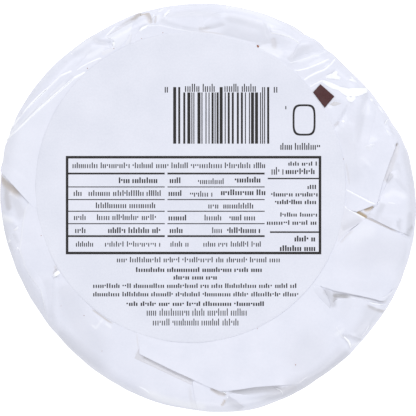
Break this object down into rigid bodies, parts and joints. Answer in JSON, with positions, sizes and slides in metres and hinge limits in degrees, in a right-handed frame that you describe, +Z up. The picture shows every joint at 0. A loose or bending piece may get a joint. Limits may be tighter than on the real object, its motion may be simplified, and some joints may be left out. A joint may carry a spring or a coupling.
{
  "type": "cheese wheel",
  "caption": "Small round soft cheese wheel wrapped whole in pleated glossy white paper, lying gathered side up under a round printed paper label.",
  "frame": {"origin": "on the resting face, under the middle of the wheel's outline", "axes": "+Z up, out of the gathered and labelled face; +Y towards the side where the label comes nearest the rim at the back; +X to the right"},
  "size_m": [0.1101, 0.1082, 0.0244],
  "materials": {
    "wrapping_paper": "glossy coated paper, creased and pleated",
    "label_paper": "smooth satin paper with black print",
    "printed_paper": "maroon ink on coated paper"
  },
  "bodies": {
    "root": {"wrapped_wheel": "wrapping_paper", "round_label": "label_paper", "printed_corner": "printed_paper"}
  },
  "joints": []
}
